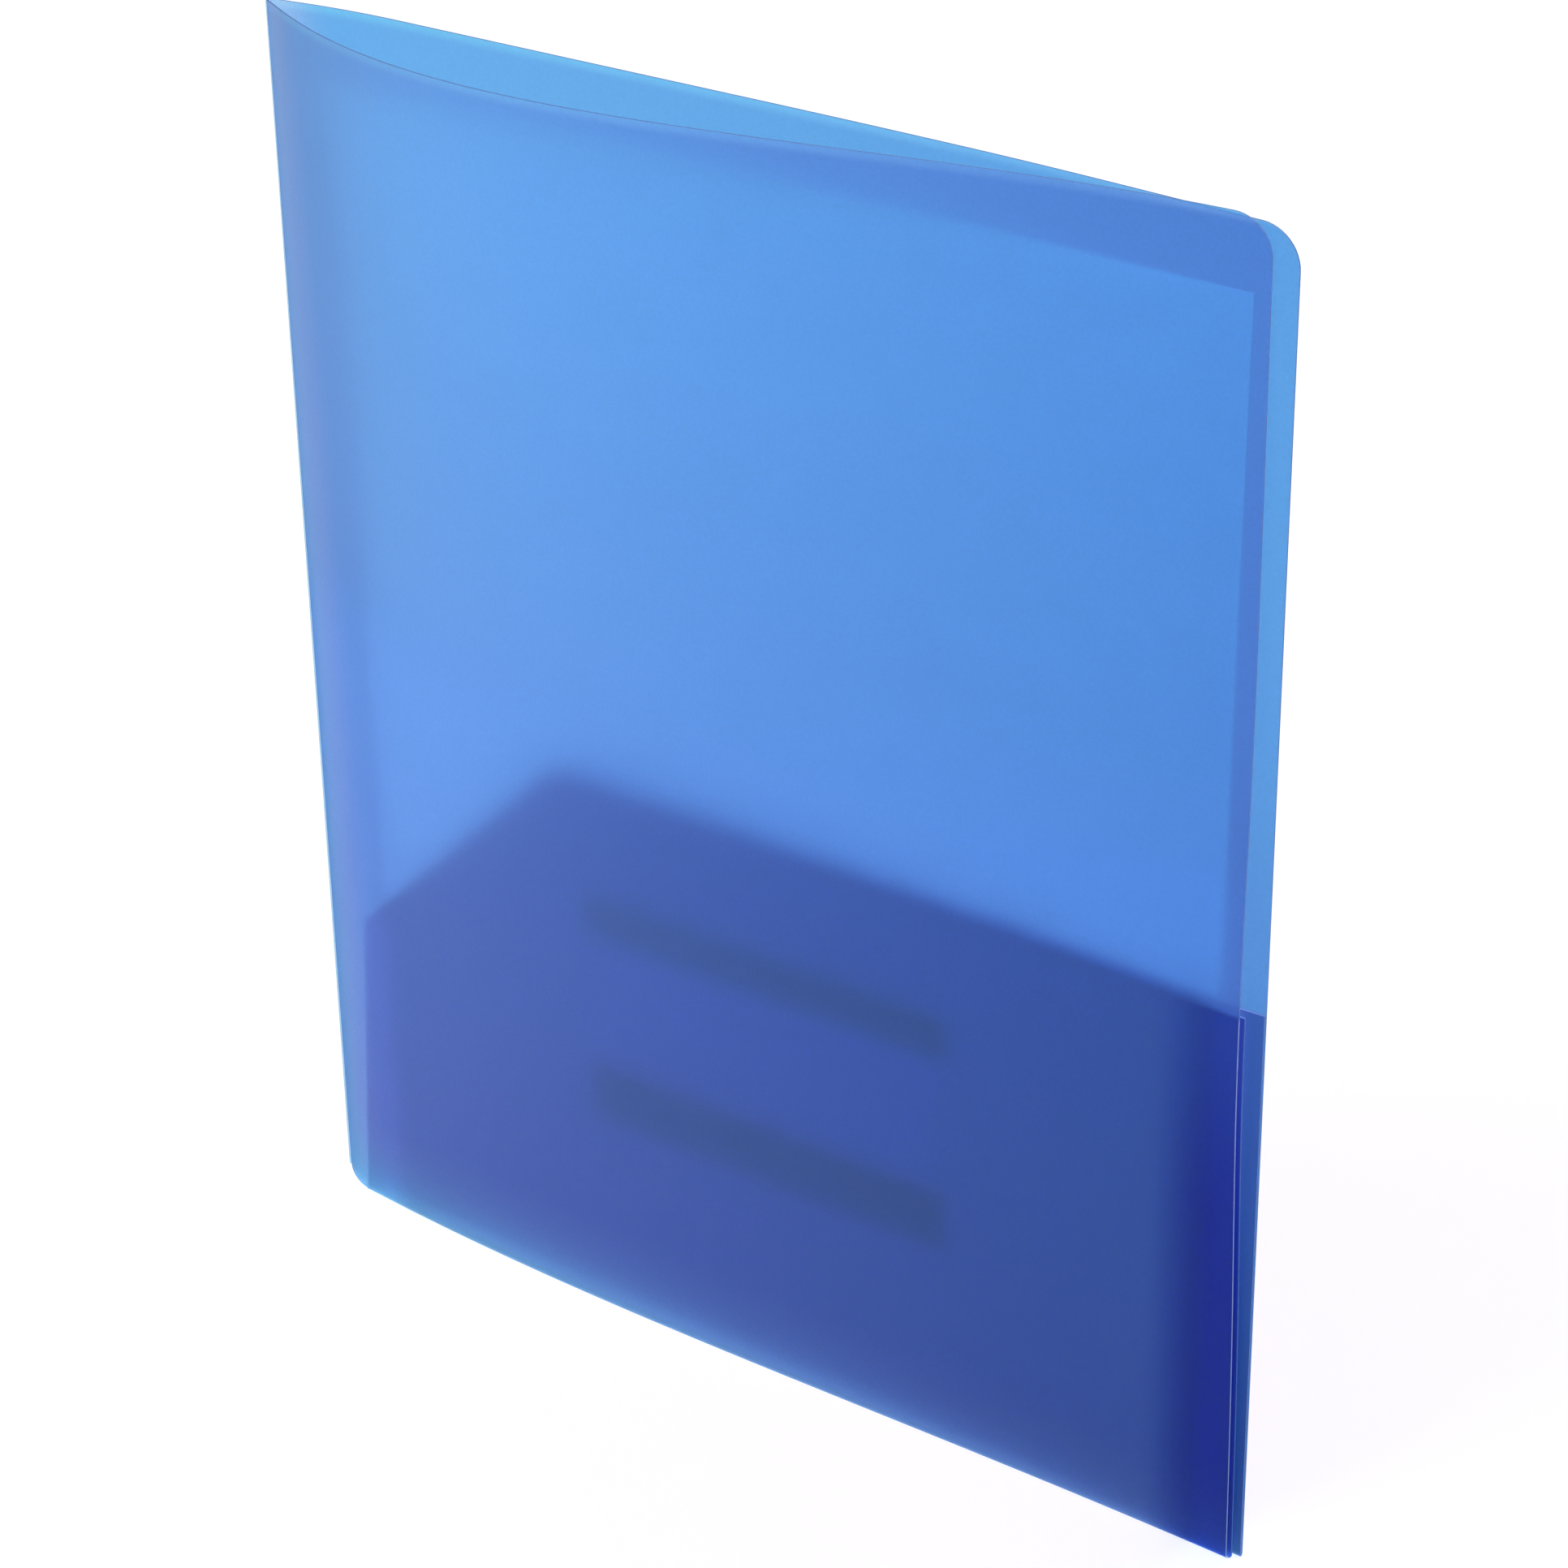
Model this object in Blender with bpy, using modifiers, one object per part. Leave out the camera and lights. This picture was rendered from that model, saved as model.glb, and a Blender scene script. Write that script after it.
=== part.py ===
"""Two-pocket document folder of translucent sheet plastic.

The folder stands on its bottom folds, nearly closed. Its spine is upright at -X, the free
edges are at +X and the front cover faces -Y. Each cover carries a pocket flap folded up from
its bottom edge. The back pocket holds one sheet of paper, and a small card is stuck inside it.
"""
import math

import bmesh
import bpy

# The sheet plastic and the clearances, in metres
SHEET = 0.0004
GAP = 0.0003
SPINE_RADIUS = 0.00045

# The paper that the folder is made to hold, and the covers' margins around it
PAPER = 0.0002
PAPER_WIDTH = 0.2159
PAPER_HEIGHT = 0.2794
PAPER_SPINE_MARGIN = 0.0162
PAPER_EDGE_MARGIN = 0.0108
PAPER_TOP_MARGIN = 0.0149
PAPER_EDGE_ROOM = 0.0014

# The covers
BACK_OVERHANG = 0.0023
TOP_CORNER = 0.008
BOTTOM_CORNER = 0.0015
SPINE_RELIEF = 0.005
BACK_TOP_RUNOUT = 0.0013
FRONT_DRAW_IN = 0.0052
BACK_DRAW_IN = 0.0023

# How far the sheets stand out of flat
BULGE = 0.0211
BOTTOM_BOW = 0.0034
EDGE_SWELL = 0.0022
SWELL_HEIGHT = 0.120
SWELL_SPREAD = 0.055
BACK_BOW = 0.0032
BACK_BOW_REACH = 0.032
EDGE_SLACK = 0.00055
TOP_SLACK = 0.00005

# The pocket flaps
POCKET_HEIGHT = 0.1325
POCKET_PEAK_HEIGHT = 0.1355
POCKET_SPINE_HEIGHT = 0.0767
POCKET_SPINE_INSET = 0.0053
POCKET_SPINE_LEAN = 0.0050
POCKET_PEAK = 0.0695
PEAK_RADIUS = 0.012
POCKET_SAG = 0.007
POCKET_OVERHANG = 0.0009
FOLD_SEGMENTS = 5

# The card stuck to the back of the back pocket's flap, in front of the paper
CARD = 0.0002
CARD_WIDTH = 0.093
CARD_HEIGHT = 0.0576
CARD_FROM_SPINE = 0.0755
CARD_FROM_FLOOR = 0.0477
CARD_RUNOUT = 0.015

# Shape of the bulge across a cover: it rises steeply from the spine and fades to the free edge
HUMP_RISE = 1.05
HUMP_FALL = 2.15
BULGE_POWER = 1.7

# Worked out from the sizes above
LAYER = SHEET + GAP
FILLED_LAYER = SHEET + PAPER + 2 * GAP
CARD_LAYER = CARD + GAP
BACK_REACH = PAPER_SPINE_MARGIN + PAPER_WIDTH + PAPER_EDGE_MARGIN
COVER_WIDTH = BACK_REACH - BACK_OVERHANG
SPINE_CLEAR = SPINE_RADIUS + GAP
FOLD_APOTHEM = math.cos(math.pi / (2 * FOLD_SEGMENTS))
EDGE_DEPTH = 2 * LAYER + EDGE_SLACK
PAPER_STAND = SHEET / 2 + GAP + PAPER / 2
PAPER_FOOT = SHEET + GAP + (1 - FOLD_APOTHEM) * (FILLED_LAYER + CARD_LAYER) / 2
COVER_HEIGHT = PAPER_FOOT + PAPER_HEIGHT + PAPER_TOP_MARGIN
PAPER_LEFT = PAPER_SPINE_MARGIN
PAPER_RIGHT = PAPER_LEFT + PAPER_WIDTH
CARD_RIGHT = CARD_FROM_SPINE + CARD_WIDTH
BULGE_PEAK = HUMP_RISE / (HUMP_RISE + HUMP_FALL)
SPINE_X = -(BACK_REACH - SPINE_RADIUS) / 2

MATERIALS = {
    "front_cover": ((0.10, 0.34, 0.80), 0.45),
    "front_pocket": ((0.08, 0.28, 0.74), 0.45),
    "back_cover": ((0.12, 0.38, 0.84), 0.45),
    "back_pocket": ((0.07, 0.25, 0.70), 0.45),
    "spine_hinge": ((0.16, 0.36, 0.78), 0.40),
    "document_sheet": ((0.92, 0.92, 0.90), 0.85),
    "insert_card": ((0.86, 0.87, 0.88), 0.70),
}


def clear_scene():
    for obj in list(bpy.data.objects):
        bpy.data.objects.remove(obj, do_unlink=True)


def hump(across):
    """Height, 0 to 1, of the bulge at a fraction of the way from the spine to the free edge."""
    rise = (across / BULGE_PEAK) ** HUMP_RISE
    fall = (max(0.0, 1 - across) / (1 - BULGE_PEAK)) ** HUMP_FALL
    return rise * fall


def smooth_step(value):
    value = min(1.0, max(0.0, value))
    return value * value * (3 - 2 * value)


def front_reach(height):
    """Distance from the spine to the front cover's free edge, drawn in as the cover bulges."""
    return COVER_WIDTH - FRONT_DRAW_IN * height / COVER_HEIGHT


def back_reach(height):
    return BACK_REACH - BACK_DRAW_IN * height / COVER_HEIGHT


def front_stand(across, height):
    """How far the front cover's middle stands towards the viewer from the spine's axis."""
    grow = (max(0.0, height) / COVER_HEIGHT) ** BULGE_POWER
    top_edge = -EDGE_DEPTH + TOP_SLACK
    swell = EDGE_SWELL * math.exp(-(((height - SWELL_HEIGHT) / SWELL_SPREAD) ** 2))
    bulge = BOTTOM_BOW + (BULGE - BOTTOM_BOW) * grow
    return LAYER / 2 + bulge * hump(across) + grow * top_edge * across**2 + swell * across**3


def back_stand(distance):
    """The back cover's middle, the same at every height so that the paper slides straight up."""
    rising = min(1.0, distance / BACK_BOW_REACH)
    bow = BACK_BOW * (1 - (1 - rising) ** 2)
    turn = 0.7 * BACK_REACH
    blend = smooth_step((distance - turn) / (BACK_REACH - turn))
    return -LAYER / 2 - bow - (EDGE_DEPTH - BACK_BOW) * blend


def back_pitch(distance):
    """Spacing of the back pocket's flap and cover: room for the paper, closed at both sides."""
    right = PAPER_RIGHT + PAPER_EDGE_ROOM
    left = PAPER_LEFT - PAPER_EDGE_ROOM
    closing = smooth_step((distance - right) / (BACK_REACH - right))
    opening = smooth_step((distance - POCKET_SPINE_INSET) / (left - POCKET_SPINE_INSET))
    filled = LAYER + (FILLED_LAYER - LAYER) * opening * (1 - closing)
    over_card = smooth_step((distance - CARD_FROM_SPINE) / CARD_RUNOUT + 1.2)
    past_card = smooth_step((distance - CARD_RIGHT) / CARD_RUNOUT - 0.2)
    return filled + CARD_LAYER * over_card * (1 - past_card)


def flap_stand(across, height):
    """The front flap hangs nearly straight while the cover bulges away from it."""
    sag = POCKET_SAG * hump(across) * height / POCKET_PEAK_HEIGHT
    return front_stand(across, height) - LAYER - sag


def fold_centre(pitch):
    """Height of a bottom fold's centre when its lowest facet lies on the floor."""
    return SHEET / 2 + FOLD_APOTHEM * pitch / 2


def spine_place():
    """Where the spine's foot stands, with the folder's middle over the origin."""
    front = front_stand(BULGE_PEAK, COVER_HEIGHT)
    back = back_stand(BACK_BOW_REACH)
    return SPINE_X, (front + back) / 2, 0


def round_corner(distance, radius):
    """How much a rounded corner takes off an edge at a distance from the corner's side."""
    if distance >= radius:
        return 0.0
    return radius - math.sqrt(radius**2 - (radius - distance) ** 2)


def spread(count, low, high):
    return [low + (high - low) * i / count for i in range(count + 1)]


def cover_columns(reach, plain):
    """Distances from the spine of a cover's columns, closer together in its rounded corners."""
    relief = [SPINE_RELIEF * (1 - math.cos(math.pi / 2 * i / 4)) for i in range(4)]
    corner = [reach - TOP_CORNER * (1 - math.sin(math.pi / 2 * i / 6)) for i in range(1, 7)]
    middle = spread(plain, SPINE_CLEAR + SPINE_RELIEF, reach - TOP_CORNER)
    return [SPINE_CLEAR + d for d in relief] + middle + corner


def make_sheet(name, columns, rows, place, thickness):
    """A grid of columns by rows, shaped by place(column, row) and thickened to a solid sheet."""
    mesh = bpy.data.meshes.new(name)
    bm = bmesh.new()
    bmesh.ops.create_grid(bm, x_segments=len(columns) - 1, y_segments=len(rows) - 1, size=1)
    for vert in bm.verts:
        column = round((vert.co.x + 1) / 2 * (len(columns) - 1))
        row = round((vert.co.y + 1) / 2 * (len(rows) - 1))
        distance, stand, height = place(columns[column], rows[row])
        vert.co = (distance, -stand, height)
    bmesh.ops.recalc_face_normals(bm, faces=bm.faces)
    bm.to_mesh(mesh)
    bm.free()
    obj = add_object(name, mesh)
    solid = obj.modifiers.new("sheet thickness", "SOLIDIFY")
    solid.thickness = thickness
    solid.offset = 0
    solid.use_even_offset = True
    return obj


def add_object(name, mesh):
    obj = bpy.data.objects.new(name, mesh)
    obj.location = spine_place()
    bpy.data.collections["document_folder"].objects.link(obj)
    mesh.materials.append(make_material(name))
    mesh.shade_smooth()
    mesh.set_sharp_from_angle(angle=math.radians(40))
    return obj


def make_material(name):
    colour, roughness = MATERIALS[name]
    material = bpy.data.materials.new(name)
    material.use_nodes = True
    shader = material.node_tree.nodes["Principled BSDF"]
    shader.inputs["Base Color"].default_value = (*colour, 1)
    shader.inputs["Roughness"].default_value = roughness
    shader.inputs["Metallic"].default_value = 0
    material.diffuse_color = (*colour, 1)
    return material


def cover_span(distance, reach, foot, runout):
    """Lowest and highest point of a cover's column."""
    from_spine = distance - SPINE_CLEAR
    from_edge = reach - distance
    low = foot + round_corner(from_spine, SPINE_RELIEF) + round_corner(from_edge, BOTTOM_CORNER)
    high = COVER_HEIGHT - round_corner(from_edge, TOP_CORNER)
    past_middle = max(0.0, 2 * distance / reach - 1)
    return low, high - runout * past_middle**2


def front_cover():
    foot = fold_centre(LAYER) + GAP

    def place(distance, part):
        low, high = cover_span(distance, COVER_WIDTH, foot, 0)
        height = low + (high - low) * part
        across = distance / COVER_WIDTH
        return across * front_reach(height), front_stand(across, height), height

    return make_sheet("front_cover", cover_columns(COVER_WIDTH, 20), spread(12, 0, 1), place, SHEET)


def back_cover():
    def place(distance, part):
        foot = fold_centre(back_pitch(distance)) + GAP
        low, high = cover_span(distance, BACK_REACH, foot, BACK_TOP_RUNOUT)
        height = low + (high - low) * part
        along = distance / BACK_REACH * back_reach(height)
        return along, back_stand(along), height

    return make_sheet("back_cover", cover_columns(BACK_REACH, 20), spread(5, 0, 1), place, SHEET)


def flap_top(distance):
    """Height of a flap's top edge: a slanted corner towards the spine, rounded at its peak, and from
    there down a little to the free edge."""
    low_end = POCKET_SPINE_INSET + POCKET_SPINE_LEAN
    slope = (POCKET_PEAK_HEIGHT - POCKET_SPINE_HEIGHT) / (POCKET_PEAK - low_end)
    tangent = PEAK_RADIUS * math.tan(math.atan(slope) / 2)
    start = POCKET_PEAK - tangent * math.cos(math.atan(slope))
    end = POCKET_PEAK + tangent
    if distance >= end:
        fall = (POCKET_PEAK_HEIGHT - POCKET_HEIGHT) / (COVER_WIDTH - end)
        return POCKET_PEAK_HEIGHT - fall * (distance - end)
    if distance <= start:
        return POCKET_SPINE_HEIGHT + slope * (distance - low_end)
    return POCKET_PEAK_HEIGHT - PEAK_RADIUS + math.sqrt(PEAK_RADIUS**2 - (end - distance) ** 2)


def flap_columns():
    """Fractions of the way across a flap, closer together where its peak is rounded."""
    low_end = POCKET_SPINE_INSET + POCKET_SPINE_LEAN
    peak = (POCKET_PEAK - low_end) / (COVER_WIDTH - low_end)
    round_part = PEAK_RADIUS / (COVER_WIDTH - low_end)
    slant = spread(6, 0, peak - round_part / 2)
    peak_round = spread(4, peak - round_part / 2, peak + round_part / 2)
    return slant + peak_round[1:] + spread(12, peak + round_part / 2, 1)[1:]


def make_flap(name, side, reach_at, stand_at, pitch_at, rows):
    """A flap that turns up from the bottom fold, which starts at the foot of its cover."""
    turn = spread(FOLD_SEGMENTS, 0, math.pi)
    levels = [("fold", angle) for angle in turn] + [("flap", part) for part in rows]
    low_end = POCKET_SPINE_INSET + POCKET_SPINE_LEAN

    def place(across, level):
        kind, value = level
        foot_x = POCKET_SPINE_INSET + (reach_at(0) - POCKET_SPINE_INSET) * across
        pitch = pitch_at(foot_x)
        centre = fold_centre(pitch)
        if kind == "fold":
            stand = stand_at(foot_x, 0) + side * pitch / 2 * (1 + math.cos(value))
            return foot_x, stand, centre - pitch / 2 * math.sin(value)
        top_x = low_end + (reach_at(0) - low_end) * across
        height = centre + (flap_top(top_x) - centre) * value
        slanted = foot_x + (top_x - foot_x) * min(1.0, height / POCKET_SPINE_HEIGHT)
        distance = slanted * reach_at(height) / reach_at(0)
        return distance, stand_at(distance, height), height

    return make_sheet(name, flap_columns(), levels, place, SHEET)


def front_pocket():
    def reach_at(height):
        return front_reach(height) + POCKET_OVERHANG

    def stand_at(distance, height):
        return flap_stand(distance / front_reach(height), height)

    def pitch_at(distance):
        return LAYER

    return make_flap("front_pocket", 1, reach_at, stand_at, pitch_at, spread(8, 0, 1)[1:])


def back_pocket():
    def stand_at(distance, height):
        return back_stand(distance) + back_pitch(distance)

    return make_flap("back_pocket", -1, back_reach, stand_at, back_pitch, spread(3, 0, 1)[1:])


def spine_hinge():
    """The thin round web along the crease, on the axis that the front half turns about."""
    length = COVER_HEIGHT - SPINE_RELIEF
    mesh = bpy.data.meshes.new("spine_hinge")
    bm = bmesh.new()
    bmesh.ops.create_cone(
        bm, cap_ends=True, segments=16, radius1=SPINE_RADIUS, radius2=SPINE_RADIUS, depth=length
    )
    bmesh.ops.translate(bm, verts=bm.verts, vec=(0, 0, SPINE_RELIEF + length / 2))
    bm.to_mesh(mesh)
    bm.free()
    return add_object("spine_hinge", mesh)


def document_sheet():
    def place(distance, part):
        return distance, back_stand(distance) + PAPER_STAND, PAPER_FOOT + PAPER_HEIGHT * part

    columns = spread(18, PAPER_LEFT, PAPER_RIGHT)
    return make_sheet("document_sheet", columns, spread(3, 0, 1), place, PAPER)


def insert_card():
    def place(distance, part):
        stand = back_stand(distance) + PAPER_STAND + PAPER / 2 + GAP + CARD / 2
        return distance, stand, CARD_FROM_FLOOR + CARD_HEIGHT * part

    columns = spread(8, CARD_FROM_SPINE, CARD_FROM_SPINE + CARD_WIDTH)
    return make_sheet("insert_card", columns, spread(2, 0, 1), place, CARD)


def main():
    clear_scene()
    parts = bpy.data.collections.new("document_folder")
    bpy.context.scene.collection.children.link(parts)
    back_cover()
    back_pocket()
    spine_hinge()
    insert_card()
    document_sheet()
    front_cover()
    front_pocket()


main()
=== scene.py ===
"""Looks of the translucent two-pocket folder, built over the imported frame."""
import math

import bmesh
import bpy
from mathutils import Matrix, Vector

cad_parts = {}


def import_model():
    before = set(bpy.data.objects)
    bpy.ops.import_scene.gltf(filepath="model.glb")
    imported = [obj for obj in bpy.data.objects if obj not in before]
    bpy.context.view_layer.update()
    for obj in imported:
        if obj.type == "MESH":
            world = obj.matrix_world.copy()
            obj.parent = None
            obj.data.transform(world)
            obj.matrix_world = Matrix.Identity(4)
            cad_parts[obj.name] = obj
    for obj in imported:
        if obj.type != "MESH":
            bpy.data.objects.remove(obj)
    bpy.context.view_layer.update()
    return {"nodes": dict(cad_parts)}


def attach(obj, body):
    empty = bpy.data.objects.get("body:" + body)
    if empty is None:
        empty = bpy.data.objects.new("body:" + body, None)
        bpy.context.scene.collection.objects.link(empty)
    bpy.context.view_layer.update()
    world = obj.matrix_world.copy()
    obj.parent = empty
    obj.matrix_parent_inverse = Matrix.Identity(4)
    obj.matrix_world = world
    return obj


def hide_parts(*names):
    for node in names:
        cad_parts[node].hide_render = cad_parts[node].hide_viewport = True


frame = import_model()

# The part's sizes, in metres, as the CAD has them
SHEET = 0.0004
GAP = 0.0003
SPINE_RADIUS = 0.00045
BACK_OVERHANG = 0.0023
TOP_CORNER = 0.008
SPINE_RELIEF = 0.005
BACK_TOP_RUNOUT = 0.0013
FRONT_DRAW_IN = 0.0052
BACK_DRAW_IN = 0.0023
BULGE = 0.0211
BOTTOM_BOW = 0.0034
EDGE_SWELL = 0.0022
SWELL_HEIGHT = 0.120
SWELL_SPREAD = 0.055
BACK_BOW = 0.0032
BACK_BOW_REACH = 0.032
EDGE_SLACK = 0.00055
TOP_SLACK = 0.00005
POCKET_HEIGHT = 0.1325
POCKET_PEAK_HEIGHT = 0.1355
POCKET_SPINE_HEIGHT = 0.0767
POCKET_SPINE_INSET = 0.0053
POCKET_SPINE_LEAN = 0.0050
POCKET_PEAK = 0.0695
PEAK_RADIUS = 0.012
POCKET_SAG = 0.007
POCKET_OVERHANG = 0.0009
PAPER = 0.0002
PAPER_WIDTH = 0.2159
PAPER_HEIGHT = 0.2794
PAPER_SPINE_MARGIN = 0.0162
PAPER_EDGE_MARGIN = 0.0108
PAPER_TOP_MARGIN = 0.0149
PAPER_EDGE_ROOM = 0.0014
CARD = 0.0002
CARD_WIDTH = 0.093
CARD_HEIGHT = 0.0576
CARD_FROM_SPINE = 0.0755
CARD_FROM_FLOOR = 0.0477
CARD_RUNOUT = 0.015

# Shape of the bulge and of the back's turn, as shares of a cover's width or as powers
HUMP_RISE = 1.05
HUMP_FALL = 2.15
BULGE_POWER = 1.7
BACK_TURN = 0.7
CARD_LEAD = 0.2

# Small clearances of the looks, in metres
FOLD_RISE = 0.00004
SPINE_CLEAR = 0.00005
ROUNDING = 1e-9

# How finely the sheets are divided
RELIEF_COLUMNS = 8
PLAIN_COLUMNS = 22
PEAK_COLUMNS = 8
WIDE_COLUMNS = 46
CORNER_COLUMNS = 12
PEAK_BEFORE = 0.006
PEAK_AFTER = 0.004
FLAP_LEVELS = 18
FOLD_LEVELS = 10
COVER_LEVELS = 40
PAPER_COLUMNS = 60
PAPER_LEVELS = 6
CARD_COLUMNS = 30
CARD_LEVELS = 4
SHARP_ANGLE = 45

# Colours, in linear red, green and blue
THROUGH = (0.975, 0.768, 0.995)
FIRST_LAYER = (0.138, 0.592, 0.915)
# Painted shade: the sheets darker towards their free edge
FREE_EDGE_SHADE = (0.68, 0.78, 0.89)
BACK_EDGE_SHADE = (0.74, 0.755, 0.855)
# Painted shade: the sheets darker towards their foot
FOOT_SHADE = (1.0, 0.845, 0.935)
# Painted sheen: paler where the sheet turns round the crease, less blue towards the foot (painted
# shade)
CREASE_SHEEN = (0.28, 0.64, 1.0)
SHEEN_FOOT_SHADE = (1.0, 1.0, 0.84)
CREASE_COLOUR = (0.45, 0.76, 1.0)
# Painted light along the bottom fold, as if lit from the floor below
FOLD_PAINTED_LIGHT = (0.21, 0.79, 0.93)
PAPER_COLOUR = (0.88, 0.895, 0.85)
CARD_FACE = (0.97, 0.97, 0.97)
CARD_BAND = (0.42, 0.205, 0.175)
EDGE_COLOUR = (0.08, 0.26, 0.74)
# Painted highlight on the front cover's cut edge
CUT_EDGE_HIGHLIGHT = (0.52, 0.68, 0.96)
BLACK = (0.0, 0.0, 0.0)
# Darker along the bottom 3 mm
BOTTOM_RIM_DARKENING = (0.95, 0.90, 0.86)
# Painted highlight along the sheets' top edge
SHEET_TOP_HIGHLIGHT = (1.5, 1.3, 1.1)
SHEEN = (0.5, 0.8, 1.0)
SHADE = (0.80, 0.86, 0.96)
FLOOR_COLOUR = (0.72, 0.72, 0.72)

# The sheet plastic's fades: widths and heights in metres, the rest as shares
# Width, fall-off and strength of the painted sheen by the crease
CREASE_FADE = 0.018
CREASE_POWER = 3.0
CREASE_MOST = 0.8
# Height, fall-off and strength of the painted light along the bottom fold, and its share at each
# end
FOLD_FADE = 0.026
FOLD_POWER = 2.2
FOLD_MOST = 1.0
FOLD_LIGHT_LEFT = 0.60
FOLD_LIGHT_RIGHT = 0.145
TOP_LINE = 0.0024
TOP_LINE_CLEAR = 0.0003
# Where the painted shade towards the free edge starts, measured from the spine
EDGE_SHADE_FROM = 0.03
LOWER_FADE = 0.26
RIM_HEIGHT = 0.003
ROUGH_BELOW = 0.145
SMOOTH_ABOVE = 0.19
ROUGHNESS_LOW = 0.55
ROUGHNESS_HIGH = 0.33
PLASTIC_IOR = 1.49
CREASE_ROUGHNESS = 0.4
POCKET_LINE = 0.0005
# Painted shade in the front sheet's strip past the paper, out to its free edge
FRONT_EDGE_POCKET_SHADE = {
    "width": 0.0066, "blur": 0.016, "fade_from": POCKET_HEIGHT - 0.05, "at_top": 0.6,
    "tint": (0.05, 0.18, 0.83),
}
# Painted shade on the back sheet's strip beside the front cover's edge
BACK_STRIP_SHADE = {
    "width": 0.001, "blur": 0.003, "fade_from": 0.0, "at_top": 0.4,
    "tint": (0.45, 0.66, 0.76),
}

# The cut edge: where the painted highlight starts and stops beside the front cover's edge
HIGHLIGHT_TOP_BLUR = 0.001
HIGHLIGHT_START = -0.002
HIGHLIGHT_FULL = -0.001
HIGHLIGHT_FADE = 0.0003
HIGHLIGHT_END = 0.0005
EDGE_STREAK = 0.15
EDGE_ROUGHNESS = 0.45
EDGE_TRANSMISSION = 0.3

# The card's bands, in metres
CARD_TOP_BAND = 0.0100
CARD_BOTTOM_BAND = 0.0145
BAND_BLUR = 0.0005

# Fine texture: noise scale and detail, the noise's usual range, how dark the darkest spots are,
# and each bump's strength and distance
SHEET_GRAIN = (1500, 1.0)
EDGE_NOISE = (900, 2.0)
PAPER_FIBRE = (2200, 4.0)
PAPER_BLOTCH = (90, 3.0)
CARD_FIBRE = (1500, 3.0)
NOISE_RANGE = (0.3, 0.7)
SPECK_RANGE = (0.95, 1.05)
CREASE_DARKEST = 0.95
FIBRE_DARKEST = 0.97
SHEET_BUMP = (0.12, 0.00004)
PAPER_BUMP = (0.15, 0.00003)
CARD_BUMP = (0.08, 0.00002)
PAPER_ROUGHNESS = 0.85
CARD_ROUGHNESS = 0.55

# Stage, light and camera, in metres, watts and degrees
FLOOR_HALF = 6
FLOOR_LIFT = 0.46
FLOOR_LIFT_BEHIND = 0.40
PLAIN_LIGHT = 0.48
WHITE = 1.0
LIGHT_SIZE = 1.2
LIGHT_TARGET = (0, 0, 0.15)
LIGHTS = (
    ("key", (-0.9, -1.3, 1.2), 15.0),
    ("fill", (1.4, -0.9, 0.9), 6.0),
    ("back", (0.2, 1.4, 1.2), 9.0),
)
CAMERA_LENS = 87.49
CAMERA_SENSOR = 36
CAMERA_SHIFT = -0.12
CAMERA_NEAR = 0.01
CAMERA_PLACE = (0.40912, -0.55155, 0.5313)
CAMERA_ANGLES = (35.549, 26.168, -0.647)

# Worked out from the sizes above
LAYER = SHEET + GAP
FILLED_LAYER = SHEET + PAPER + 2 * GAP
CARD_LAYER = CARD + GAP
BACK_REACH = PAPER_SPINE_MARGIN + PAPER_WIDTH + PAPER_EDGE_MARGIN
COVER_WIDTH = BACK_REACH - BACK_OVERHANG
PAPER_FOOT = SHEET + GAP + FOLD_RISE
COVER_HEIGHT = PAPER_FOOT + PAPER_HEIGHT + PAPER_TOP_MARGIN
SPINE_START = SPINE_RADIUS + SPINE_CLEAR
EDGE_DEPTH = 2 * LAYER + EDGE_SLACK
PAPER_STAND = SHEET / 2 + GAP + PAPER / 2
PAPER_LEFT = PAPER_SPINE_MARGIN
PAPER_RIGHT = PAPER_LEFT + PAPER_WIDTH
CARD_RIGHT = CARD_FROM_SPINE + CARD_WIDTH
BULGE_PEAK = HUMP_RISE / (HUMP_RISE + HUMP_FALL)
SPINE_X = -(BACK_REACH - SPINE_RADIUS) / 2
FLAP_LOW_END = POCKET_SPINE_INSET + POCKET_SPINE_LEAN


# Shape of the sheets: how far each stands towards the viewer at a distance from the spine

def hump(across):
    rise = (across / BULGE_PEAK) ** HUMP_RISE
    fall = (max(0.0, 1 - across) / (1 - BULGE_PEAK)) ** HUMP_FALL
    return rise * fall


def smooth_step(value):
    value = min(1.0, max(0.0, value))
    return value * value * (3 - 2 * value)


def front_reach(height):
    return COVER_WIDTH - FRONT_DRAW_IN * height / COVER_HEIGHT


def back_reach(height):
    return BACK_REACH - BACK_DRAW_IN * height / COVER_HEIGHT


def front_stand(across, height):
    grow = (max(0.0, height) / COVER_HEIGHT) ** BULGE_POWER
    top_edge = -EDGE_DEPTH + TOP_SLACK
    swell = EDGE_SWELL * math.exp(-(((height - SWELL_HEIGHT) / SWELL_SPREAD) ** 2))
    bulge = BOTTOM_BOW + (BULGE - BOTTOM_BOW) * grow
    return LAYER / 2 + bulge * hump(across) + grow * top_edge * across**2 + swell * across**3


def back_stand(distance):
    rising = min(1.0, distance / BACK_BOW_REACH)
    bow = BACK_BOW * (1 - (1 - rising) ** 2)
    turn = BACK_TURN * BACK_REACH
    bend = smooth_step((distance - turn) / (BACK_REACH - turn))
    return -LAYER / 2 - bow - (EDGE_DEPTH - BACK_BOW) * bend


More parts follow.
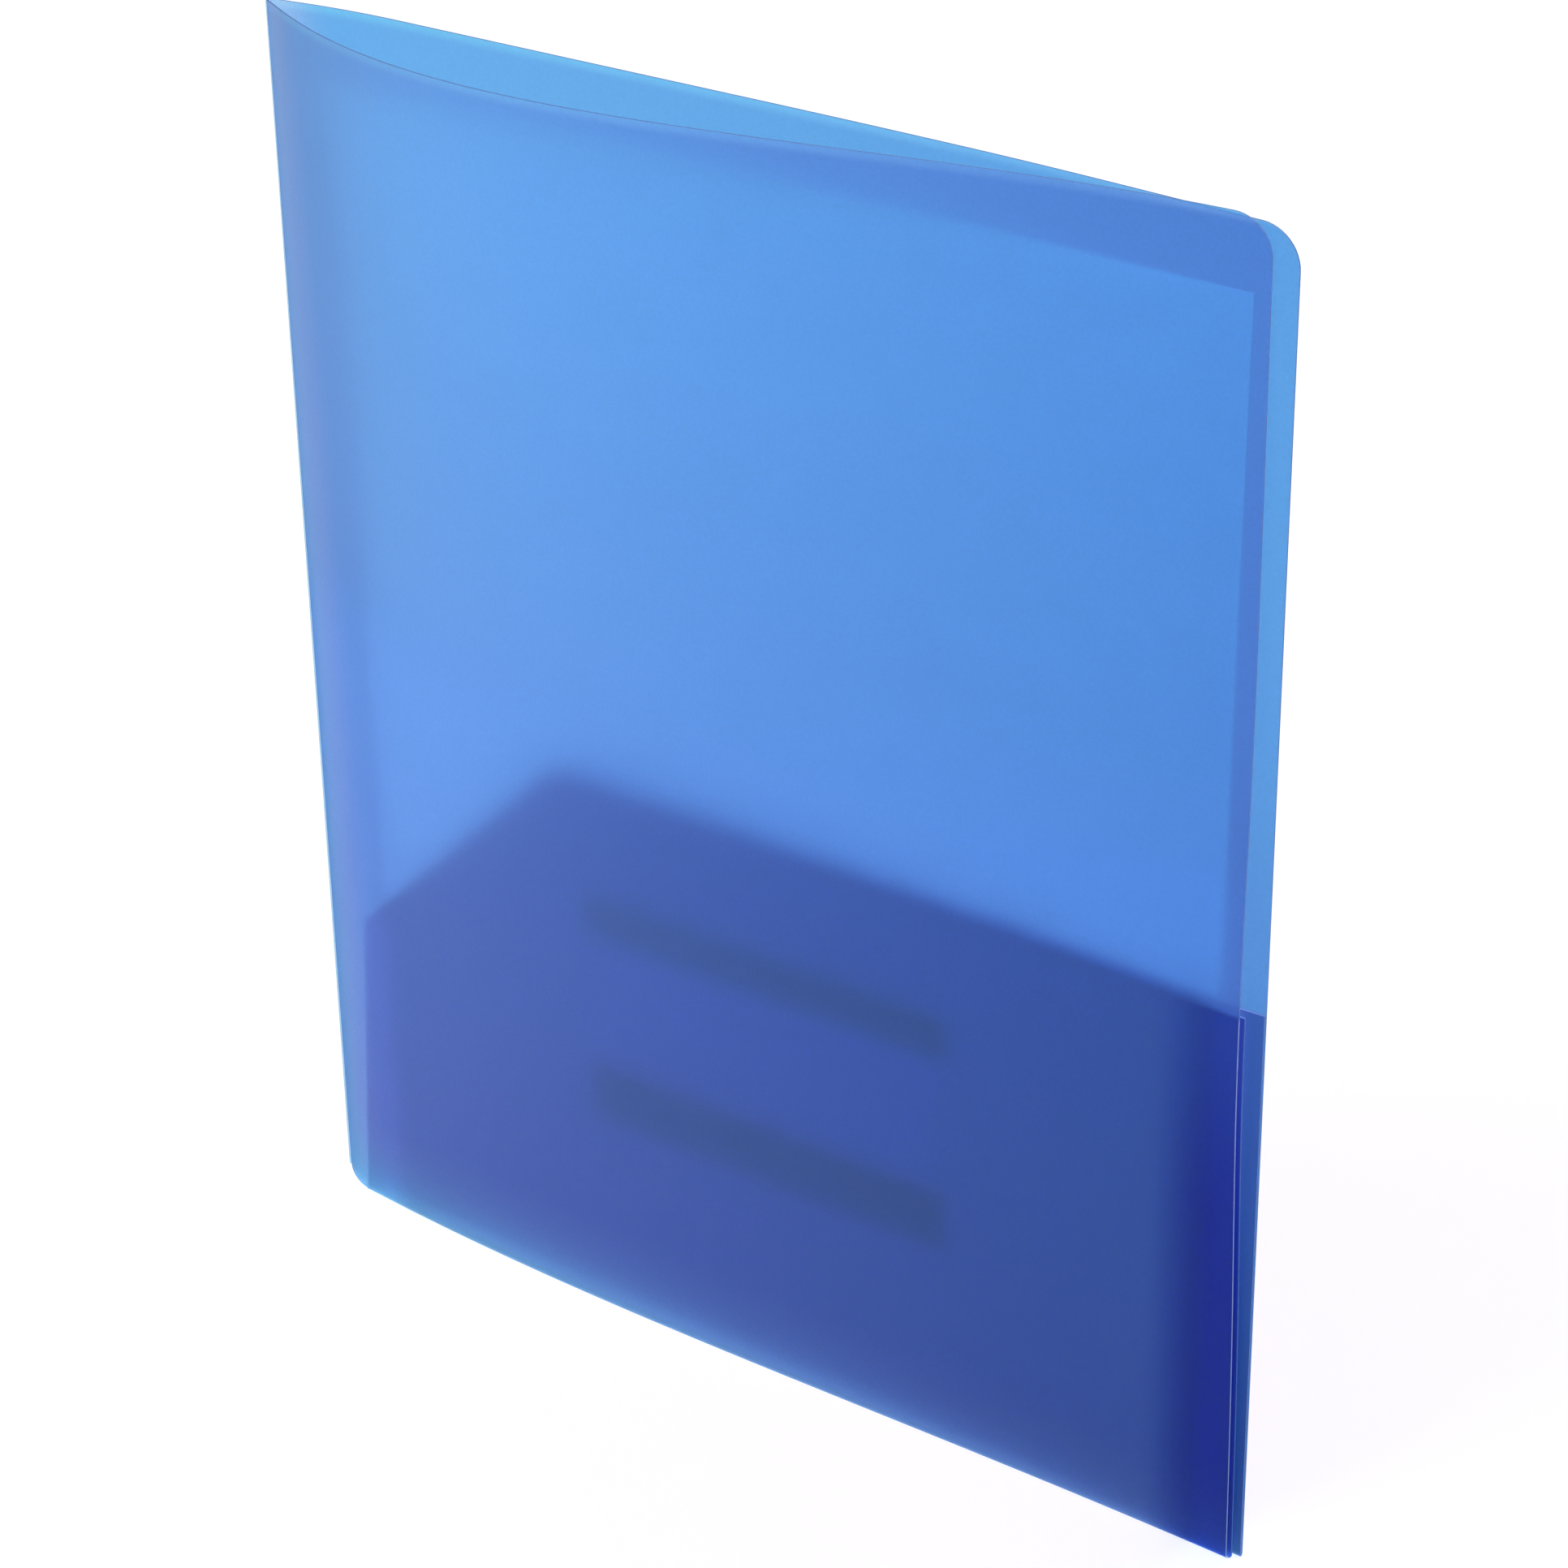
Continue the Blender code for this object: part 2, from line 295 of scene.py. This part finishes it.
def back_pitch(distance):
    """Room between the back cover and its flap, wider where the paper and the card lie."""
    right = PAPER_RIGHT + PAPER_EDGE_ROOM
    left = PAPER_LEFT - PAPER_EDGE_ROOM
    closing = smooth_step((distance - right) / (BACK_REACH - right))
    opening = smooth_step((distance - POCKET_SPINE_INSET) / (left - POCKET_SPINE_INSET))
    filled = LAYER + (FILLED_LAYER - LAYER) * opening * (1 - closing)
    over_card = smooth_step((distance - CARD_FROM_SPINE) / CARD_RUNOUT + (1 + CARD_LEAD))
    past_card = smooth_step((distance - CARD_RIGHT) / CARD_RUNOUT - CARD_LEAD)
    return filled + CARD_LAYER * over_card * (1 - past_card)


def flap_stand(across, height):
    sag = POCKET_SAG * hump(across) * height / POCKET_PEAK_HEIGHT
    return front_stand(across, height) - LAYER - sag


def fold_centre(pitch):
    return SHEET / 2 + pitch / 2


def round_corner(distance, radius):
    if distance >= radius:
        return 0.0
    return radius - math.sqrt(radius**2 - (radius - distance) ** 2)


def flap_top(distance):
    slope = (POCKET_PEAK_HEIGHT - POCKET_SPINE_HEIGHT) / (POCKET_PEAK - FLAP_LOW_END)
    tangent = PEAK_RADIUS * math.tan(math.atan(slope) / 2)
    start = POCKET_PEAK - tangent * math.cos(math.atan(slope))
    end = POCKET_PEAK + tangent
    if distance >= end:
        fall = (POCKET_PEAK_HEIGHT - POCKET_HEIGHT) / (COVER_WIDTH - end)
        return POCKET_PEAK_HEIGHT - fall * (distance - end)
    if distance <= start:
        return POCKET_SPINE_HEIGHT + slope * (distance - FLAP_LOW_END)
    return POCKET_PEAK_HEIGHT - PEAK_RADIUS + math.sqrt(PEAK_RADIUS**2 - (end - distance) ** 2)


def spine_y():
    return (front_stand(BULGE_PEAK, COVER_HEIGHT) + back_stand(BACK_BOW_REACH)) / 2


def world(distance, stand, height):
    return Vector((SPINE_X + distance, spine_y() - stand, height))


def spread(count, low, high):
    return [low + (high - low) * i / count for i in range(count + 1)]


# Materials

class Nodes:
    """Short calls for building one material's node tree."""

    def __init__(self, name):
        self.material = bpy.data.materials.new(name)
        self.material.use_nodes = True
        self.tree = self.material.node_tree
        self.shader = self.tree.nodes["Principled BSDF"]
        self.output = self.tree.nodes["Material Output"]

    def add(self, kind, **settings):
        node = self.tree.nodes.new(kind)
        for key, value in settings.items():
            setattr(node, key, value)
        return node

    def link(self, source, target):
        self.tree.links.new(source, target)

    def put(self, value, socket):
        """Sets a socket to a number or a colour, or links it to another node's output."""
        if isinstance(value, (int, float)):
            socket.default_value = value
        elif isinstance(value, tuple):
            socket.default_value = (*value, 1)
        else:
            self.link(value, socket)

    def surface(self, colour, values):
        self.put(colour, self.shader.inputs["Base Color"])
        for key, value in values.items():
            self.put(value, self.shader.inputs[key])

    def place(self):
        """Position on the piece at rest, and its X, Y and Z."""
        coordinates = self.add("ShaderNodeTexCoord")
        split = self.add("ShaderNodeSeparateXYZ")
        self.link(coordinates.outputs["Object"], split.inputs[0])
        return coordinates.outputs["Object"], split.outputs

    def noise(self, vector, scale, detail):
        node = self.add("ShaderNodeTexNoise")
        node.inputs["Scale"].default_value = scale
        node.inputs["Detail"].default_value = detail
        self.link(vector, node.inputs["Vector"])
        return node.outputs["Fac"]

    def remap(self, value, low, high, to_low, to_high, smooth=True):
        node = self.add("ShaderNodeMapRange")
        node.interpolation_type = "SMOOTHSTEP" if smooth else "LINEAR"
        ends = {"From Min": low, "From Max": high, "To Min": to_low, "To Max": to_high}
        for key, number in ends.items():
            node.inputs[key].default_value = number
        self.link(value, node.inputs["Value"])
        return node.outputs["Result"]

    def calculate(self, operation, *values):
        node = self.add("ShaderNodeMath", operation=operation)
        for value, socket in zip(values, node.inputs):
            self.put(value, socket)
        return node.outputs[0]

    def product(self, first, *others):
        for other in others:
            first = self.calculate("MULTIPLY", first, other)
        return first

    def fade(self, value, start, width, power, most):
        """Highest at start, falling to nothing over width, quickly at first."""
        line = self.remap(value, start, start + width, 1.0, 0.0, smooth=False)
        return self.product(self.calculate("POWER", line, power), most)

    def mix(self, factor, first, second, kind="MIX"):
        node = self.add("ShaderNodeMix", data_type="RGBA", blend_type=kind)
        for key, value in (("Factor", factor), ("A", first), ("B", second)):
            self.put(value, node.inputs[key])
        return node.outputs["Result"]

    def deepen(self, amount, colour, tint):
        return self.mix(amount, colour, self.mix(1.0, colour, tint, "MULTIPLY"))

    def mottle(self, noise, colour, darkest):
        """The colour, darker by the share given where the noise is lowest."""
        darker = tuple(c * darkest for c in colour)
        return self.mix(self.remap(noise, *NOISE_RANGE, 0, 1), darker, colour)

    def bump(self, height, strength, distance):
        node = self.add("ShaderNodeBump")
        node.inputs["Strength"].default_value = strength
        node.inputs["Distance"].default_value = distance
        self.link(height, node.inputs["Height"])
        self.link(node.outputs["Normal"], self.shader.inputs["Normal"])

    def see_through_shadow(self, tint):
        """Lets light pass to what lies behind. Each of the two faces takes the tint's root."""
        path = self.add("ShaderNodeLightPath")
        clear = self.add("ShaderNodeBsdfTransparent")
        self.put(tuple(math.sqrt(c) for c in tint), clear.inputs["Color"])
        mixed = self.add("ShaderNodeMixShader")
        self.link(path.outputs["Is Shadow Ray"], mixed.inputs[0])
        self.link(self.shader.outputs[0], mixed.inputs[1])
        self.link(clear.outputs[0], mixed.inputs[2])
        self.link(mixed.outputs[0], self.output.inputs["Surface"])


def free_edge_shade(nodes, axes, colour, width, blur, fade_from, at_top, tint):
    """Painted shade: darkens the strip out to the free edge below the pocket's top, most at its
    foot.
    """
    strip_start = SPINE_X + COVER_WIDTH - width
    band = nodes.remap(axes["X"], strip_start - blur, strip_start, 0, 1)
    in_pocket = nodes.remap(axes["Z"], POCKET_HEIGHT - POCKET_LINE, POCKET_HEIGHT, 1, 0)
    lower = nodes.remap(axes["Z"], fade_from, POCKET_HEIGHT, 1, at_top)
    return nodes.deepen(nodes.product(band, lower, in_pocket), colour, tint)


def sheet_plastic(name, front):
    """Frosted translucent sheet. The first layer that is looked through takes out most of the red
    and green, and each further layer only deepens what is left, as a dye does with real light. The
    sheet is paler by the crease (painted sheen), along the bottom fold (painted light) and at the
    top edge (painted highlight). Painted shade makes it darker towards the free edge and the foot,
    and darkest in the strip out to the free edge below the pocket's top. It is also a little darker
    along the bottom 3 mm."""
    nodes = Nodes(name)
    where, axes = nodes.place()
    x, z = axes["X"], axes["Z"]
    path = nodes.add("ShaderNodeLightPath")
    first = tuple(t * p * p for t, p in zip(THROUGH, FIRST_LAYER))
    colour = nodes.mix(path.outputs["Is Camera Ray"], THROUGH, first)

    # Painted shade, darker towards the free edge
    across = nodes.remap(x, SPINE_X + EDGE_SHADE_FROM, -SPINE_X, 0.0, 1.0, smooth=False)
    colour = nodes.deepen(across, colour, FREE_EDGE_SHADE if front else BACK_EDGE_SHADE)
    # Painted shade, darker towards the foot
    down = nodes.remap(z, 0.0, LOWER_FADE, 1.0, 0.0, smooth=False)
    colour = nodes.deepen(down, colour, FOOT_SHADE)
    # Painted shade along the free edge below the pocket's top
    colour = free_edge_shade(nodes, axes, colour, **(FRONT_EDGE_POCKET_SHADE if front else BACK_STRIP_SHADE))

    # Painted light along the bottom fold, fainter towards the free edge
    fold = nodes.fade(z, 0.0, FOLD_FADE, FOLD_POWER, FOLD_MOST)
    fainter = nodes.remap(x, SPINE_X, -SPINE_X, FOLD_LIGHT_LEFT, FOLD_LIGHT_RIGHT, smooth=False)
    colour = nodes.mix(nodes.product(fold, fainter), colour, FOLD_PAINTED_LIGHT)
    # Darker along the bottom 3 mm
    colour = nodes.deepen(nodes.remap(z, 0.0, RIM_HEIGHT, 1, 0), colour, BOTTOM_RIM_DARKENING)
    # Painted highlight along the top edge
    top = nodes.remap(z, COVER_HEIGHT - TOP_LINE, COVER_HEIGHT - TOP_LINE_CLEAR, 0, 1)
    colour = nodes.deepen(top, colour, SHEET_TOP_HIGHLIGHT)
    # Painted sheen by the crease
    crease = nodes.fade(x, SPINE_X, CREASE_FADE, CREASE_POWER, CREASE_MOST)
    colour = nodes.mix(crease, colour, nodes.deepen(down, CREASE_SHEEN, SHEEN_FOOT_SHADE))

    grain = nodes.noise(where, *SHEET_GRAIN)
    speck = nodes.remap(grain, *NOISE_RANGE, *SPECK_RANGE, smooth=False)
    scaled = nodes.add("ShaderNodeVectorMath", operation="SCALE")
    nodes.link(colour, scaled.inputs[0])
    nodes.link(speck, scaled.inputs["Scale"])
    nodes.surface(scaled.outputs[0], {
        "Roughness": nodes.remap(z, ROUGH_BELOW, SMOOTH_ABOVE, ROUGHNESS_LOW, ROUGHNESS_HIGH),
        "IOR": PLASTIC_IOR,
        "Transmission Weight": 1.0,
        "Specular Tint": SHEEN,
    })
    nodes.bump(grain, *SHEET_BUMP)
    nodes.see_through_shadow(SHADE)
    return nodes.material


def crease_plastic():
    nodes = Nodes("crease")
    where, _ = nodes.place()
    grain = nodes.noise(where, *SHEET_GRAIN)
    nodes.surface(nodes.mottle(grain, CREASE_COLOUR, CREASE_DARKEST), {
        "Roughness": CREASE_ROUGHNESS,
        "IOR": PLASTIC_IOR,
        "Transmission Weight": 1.0,
    })
    nodes.see_through_shadow(CREASE_COLOUR)
    return nodes.material


def cut_edge(name, pale_below):
    """The sheet's cut edge: a deep line where light runs out of the plastic, with a painted
    highlight along the front cover's edge below the pocket's top."""
    nodes = Nodes(name)
    where, axes = nodes.place()
    # Painted highlight on the front cover's cut edge below the pocket's top
    pale = nodes.remap(axes["Z"], pale_below - HIGHLIGHT_TOP_BLUR, pale_below, 1, 0)
    # X as if the free edge were upright, so that one distance fits the whole edge
    straight = nodes.calculate("MULTIPLY_ADD", axes["Z"], FRONT_DRAW_IN / COVER_HEIGHT, axes["X"])
    reach = SPINE_X + COVER_WIDTH
    beside = nodes.remap(straight, reach + HIGHLIGHT_START, reach + HIGHLIGHT_FULL, 0, 1)
    flap = nodes.remap(straight, reach + HIGHLIGHT_FADE, reach + HIGHLIGHT_END, 1, 0)
    colour = nodes.mix(nodes.product(pale, beside, flap), EDGE_COLOUR, CUT_EDGE_HIGHLIGHT)
    streak = nodes.remap(nodes.noise(where, *EDGE_NOISE), *NOISE_RANGE, 0.0, EDGE_STREAK)
    nodes.surface(nodes.mix(streak, colour, BLACK), {
        "Roughness": EDGE_ROUGHNESS,
        "Transmission Weight": EDGE_TRANSMISSION,
    })
    return nodes.material


def paper_material():
    nodes = Nodes("office_paper")
    where, _ = nodes.place()
    blotch = nodes.noise(where, *PAPER_BLOTCH)
    colour = nodes.mottle(blotch, PAPER_COLOUR, FIBRE_DARKEST)
    nodes.surface(colour, {"Roughness": PAPER_ROUGHNESS})
    nodes.bump(nodes.noise(where, *PAPER_FIBRE), *PAPER_BUMP)
    return nodes.material


def card_material():
    """Light card with a plain darker band along its top and another along its bottom."""
    nodes = Nodes("printed_card")
    where, axes = nodes.place()
    upper = CARD_FROM_FLOOR + CARD_HEIGHT - CARD_TOP_BAND
    lower = CARD_FROM_FLOOR + CARD_BOTTOM_BAND
    top = nodes.remap(axes["Z"], upper - BAND_BLUR, upper + BAND_BLUR, 0, 1)
    bottom = nodes.remap(axes["Z"], lower - BAND_BLUR, lower + BAND_BLUR, 1, 0)
    fibre = nodes.noise(where, *CARD_FIBRE)
    face = nodes.mottle(fibre, CARD_FACE, FIBRE_DARKEST)
    colour = nodes.mix(bottom, nodes.mix(top, face, CARD_BAND), CARD_BAND)
    nodes.surface(colour, {"Roughness": CARD_ROUGHNESS})
    nodes.bump(fibre, *CARD_BUMP)
    return nodes.material


# Pieces

def finish_piece(name, body, replaced, materials, mesh, thickness):
    """Thickens the mesh, gives its cut edges the last material and hands it to its body."""
    obj = bpy.data.objects.new(name, mesh)
    bpy.context.scene.collection.objects.link(obj)
    for material in materials:
        mesh.materials.append(material)
    solid = obj.modifiers.new("thickness", "SOLIDIFY")
    solid.thickness = thickness
    solid.offset = 0
    solid.use_even_offset = True
    solid.material_offset_rim = len(materials) - 1
    bpy.context.view_layer.update()
    depsgraph = bpy.context.evaluated_depsgraph_get()
    solid_mesh = bpy.data.meshes.new_from_object(obj.evaluated_get(depsgraph))
    obj.modifiers.clear()
    obj.data = solid_mesh
    bpy.data.meshes.remove(mesh)
    solid_mesh.name = name
    solid_mesh.shade_smooth()
    solid_mesh.set_sharp_from_angle(angle=math.radians(SHARP_ANGLE))
    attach(obj, body)
    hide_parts(*replaced)


def grid_mesh(name, columns, levels, place):
    """Faces between neighbouring columns and levels; place gives None where the sheet is cut."""
    mesh = bpy.data.meshes.new(name)
    bm = bmesh.new()
    grid = []
    for column in columns:
        line = []
        for level in levels:
            point = place(column, level)
            line.append(None if point is None else bm.verts.new(world(*point)))
        grid.append(line)
    for left, right in zip(grid, grid[1:]):
        for k in range(len(levels) - 1):
            corners = (left[k], right[k], right[k + 1], left[k + 1])
            if None not in corners:
                bm.faces.new(corners)
    bmesh.ops.recalc_face_normals(bm, faces=bm.faces)
    bm.to_mesh(mesh)
    bm.free()
    return mesh


def half_columns(reach):
    """Nominal distances from the spine, closer together at the relief, the peak and the corner."""
    quarter = math.pi / 2
    relief = [
        SPINE_START + SPINE_RELIEF * (1 - math.cos(quarter * i / RELIEF_COLUMNS))
        for i in range(RELIEF_COLUMNS)
    ]
    before, after = POCKET_PEAK - PEAK_BEFORE, POCKET_PEAK + PEAK_AFTER
    plain = spread(PLAIN_COLUMNS, SPINE_START + SPINE_RELIEF, before)[:-1]
    peak = spread(PEAK_COLUMNS, before, after)[:-1]
    wide = spread(WIDE_COLUMNS, after, reach - TOP_CORNER)[:-1]
    corner = [
        reach - TOP_CORNER * (1 - math.sin(quarter * i / CORNER_COLUMNS))
        for i in range(CORNER_COLUMNS + 1)
    ]
    return relief + plain + peak + wide + corner


def make_half(
    name, body, replaced, materials, reach, side,
    cover_at, flap_at, pitch_at, flap_reach, runout,
):
    """One half of the folder as one sheet: flap, bottom fold and cover in one run of levels."""
    levels = [("flap", v) for v in spread(FLAP_LEVELS, 1, 0)[:-1]]
    levels += [("fold", v) for v in spread(FOLD_LEVELS, math.pi, 0)]
    levels += [("cover", v) for v in spread(COVER_LEVELS, 0, 1)[1:]]
    inset = SPINE_START + SPINE_RELIEF

    def place(distance, level):
        kind, value = level
        foot = fold_centre(pitch_at(max(distance, inset)))
        low = foot + round_corner(distance - SPINE_START, SPINE_RELIEF)
        if kind == "cover":
            high = COVER_HEIGHT - round_corner(reach - distance, TOP_CORNER)
            high -= runout * max(0.0, 2 * distance / reach - 1) ** 2
            return cover_at(distance, low + (high - low) * value)
        if distance < inset - ROUNDING:
            # Left of the relief there is only the cover, whose lowest row follows the relief
            return cover_at(distance, low) if kind == "fold" and value == 0 else None
        across = (distance - inset) / (reach - inset)
        foot_x = distance + (flap_reach(0) - reach) * across
        pitch = pitch_at(foot_x)
        centre = fold_centre(pitch)
        if kind == "fold":
            edge = (1 + math.cos(value)) / 2
            x = foot_x + (distance - foot_x) * edge
            stand = flap_at(foot_x, 0)[1] + side * pitch * edge
            return x, stand, centre - pitch / 2 * math.sin(value)
        top_x = FLAP_LOW_END + (flap_reach(0) - FLAP_LOW_END) * across
        height = centre + (flap_top(top_x) - centre) * value
        slanted = foot_x + (top_x - foot_x) * min(1.0, height / POCKET_SPINE_HEIGHT)
        return flap_at(slanted, height)

    mesh = grid_mesh(name, half_columns(reach), levels, place)
    finish_piece(name, body, replaced, materials, mesh, SHEET)


def front_half(materials):
    def cover_at(distance, height):
        across = distance / COVER_WIDTH
        return across * front_reach(height), front_stand(across, height), height

    def flap_reach(height):
        return front_reach(height) + POCKET_OVERHANG

    def flap_at(distance, height):
        x = distance * flap_reach(height) / flap_reach(0)
        return x, flap_stand(x / front_reach(height), height), height

    make_half(
        "front_half", "front", ("front_cover", "front_pocket"), materials,
        COVER_WIDTH, 1, cover_at, flap_at, lambda distance: LAYER, flap_reach, 0.0,
    )


def back_half(materials):
    def cover_at(distance, height):
        along = distance / BACK_REACH * back_reach(height)
        return along, back_stand(along), height

    def flap_at(distance, height):
        x = distance * back_reach(height) / back_reach(0)
        return x, back_stand(x) + back_pitch(x), height

    make_half(
        "back_half", "back", ("back_cover", "back_pocket"), materials,
        BACK_REACH, -1, cover_at, flap_at, back_pitch, back_reach, BACK_TOP_RUNOUT,
    )


def paper_piece(material):
    def place(distance, part):
        return distance, back_stand(distance) + PAPER_STAND, PAPER_FOOT + PAPER_HEIGHT * part

    columns, levels = spread(PAPER_COLUMNS, PAPER_LEFT, PAPER_RIGHT), spread(PAPER_LEVELS, 0, 1)
    mesh = grid_mesh("paper_sheet", columns, levels, place)
    finish_piece("paper_sheet", "paper", ("document_sheet",), [material], mesh, PAPER)


def card_piece(material):
    def place(distance, part):
        stand = back_stand(distance) + PAPER_STAND + PAPER / 2 + GAP + CARD / 2
        return distance, stand, CARD_FROM_FLOOR + CARD_HEIGHT * part

    columns, levels = spread(CARD_COLUMNS, CARD_FROM_SPINE, CARD_RIGHT), spread(CARD_LEVELS, 0, 1)
    mesh = grid_mesh("card", columns, levels, place)
    finish_piece("card", "back", ("insert_card",), [material], mesh, CARD)


def make_object():
    front_half([sheet_plastic("front_sheet", True), cut_edge("front_edge", POCKET_HEIGHT)])
    back_half([sheet_plastic("back_sheet", False), cut_edge("back_edge", 0.0)])
    paper_piece(paper_material())
    card_piece(card_material())
    spine = frame["nodes"]["spine_hinge"]
    spine.data.materials.clear()
    spine.data.materials.append(crease_plastic())


# Stage, light and camera

def make_floor():
    """A grey floor that takes shadows, lifted towards white where the camera sees it."""
    mesh = bpy.data.meshes.new("floor")
    bm = bmesh.new()
    bmesh.ops.create_grid(bm, x_segments=1, y_segments=1, size=FLOOR_HALF)
    bm.to_mesh(mesh)
    bm.free()
    floor = bpy.data.objects.new("floor", mesh)
    bpy.context.scene.collection.objects.link(floor)
    nodes = Nodes("floor")
    nodes.surface(FLOOR_COLOUR, {"Roughness": 1.0, "Specular IOR Level": 0.0})
    lifted = nodes.add("ShaderNodeEmission")
    lifted.inputs["Color"].default_value = (1, 1, 1, 1)
    rays = nodes.add("ShaderNodeLightPath").outputs
    seen = nodes.remap(rays["Is Camera Ray"], 0, 1, 0, FLOOR_LIFT, smooth=False)
    through = nodes.remap(rays["Is Transmission Ray"], 0, 1, 0, FLOOR_LIFT_BEHIND, smooth=False)
    nodes.link(nodes.calculate("MAXIMUM", seen, through), lifted.inputs["Strength"])
    both = nodes.add("ShaderNodeAddShader")
    nodes.link(nodes.shader.outputs[0], both.inputs[0])
    nodes.link(lifted.outputs[0], both.inputs[1])
    nodes.link(both.outputs[0], nodes.output.inputs["Surface"])
    mesh.materials.append(nodes.material)


def make_world():
    """Plain light on the object, and white where the camera sees the background or sees it through
    the sheets."""
    studio = bpy.data.worlds.new("studio")
    bpy.context.scene.world = studio
    studio.use_nodes = True
    tree = studio.node_tree
    rays = tree.nodes.new("ShaderNodeLightPath").outputs
    behind = tree.nodes.new("ShaderNodeMix")
    behind.data_type = "RGBA"
    behind.inputs["A"].default_value = (PLAIN_LIGHT, PLAIN_LIGHT, PLAIN_LIGHT, 1)
    seen = tree.nodes.new("ShaderNodeMix")
    seen.data_type = "RGBA"
    for mixed, kind in ((behind, "Is Transmission Ray"), (seen, "Is Camera Ray")):
        mixed.inputs["B"].default_value = (WHITE, WHITE, WHITE, 1)
        tree.links.new(rays[kind], mixed.inputs["Factor"])
    tree.links.new(behind.outputs["Result"], seen.inputs["A"])
    tree.links.new(seen.outputs["Result"], tree.nodes["Background"].inputs["Color"])


def make_light(name, place, power):
    data = bpy.data.lights.new(name, "AREA")
    data.shape = "SQUARE"
    data.size = LIGHT_SIZE
    data.energy = power
    light = bpy.data.objects.new(name, data)
    light.location = place
    towards = Vector(LIGHT_TARGET) - Vector(place)
    light.rotation_euler = towards.to_track_quat("-Z", "Y").to_euler()
    bpy.context.scene.collection.objects.link(light)


def make_camera():
    data = bpy.data.cameras.new("camera")
    data.lens = CAMERA_LENS
    data.sensor_width = CAMERA_SENSOR
    data.shift_y = CAMERA_SHIFT
    data.clip_start = CAMERA_NEAR
    camera = bpy.data.objects.new("camera", data)
    azimuth, elevation, roll = (math.radians(v) for v in CAMERA_ANGLES)
    level = math.cos(elevation)
    forward = Vector((-math.sin(azimuth) * level, math.cos(azimuth) * level, -math.sin(elevation)))
    right = Vector((math.cos(azimuth), math.sin(azimuth), 0))
    up = right.cross(forward)
    turned_right = right * math.cos(roll) + up * math.sin(roll)
    turned_up = up * math.cos(roll) - right * math.sin(roll)
    turn = Matrix((turned_right, turned_up, -forward)).transposed()
    camera.matrix_world = Matrix.Translation(CAMERA_PLACE) @ turn.to_4x4()
    bpy.context.scene.collection.objects.link(camera)
    bpy.context.scene.camera = camera


make_object()
make_floor()
make_world()
for light_name, light_place, light_power in LIGHTS:
    make_light(light_name, light_place, light_power)
make_camera()
bpy.context.scene.view_settings.view_transform = "Standard"
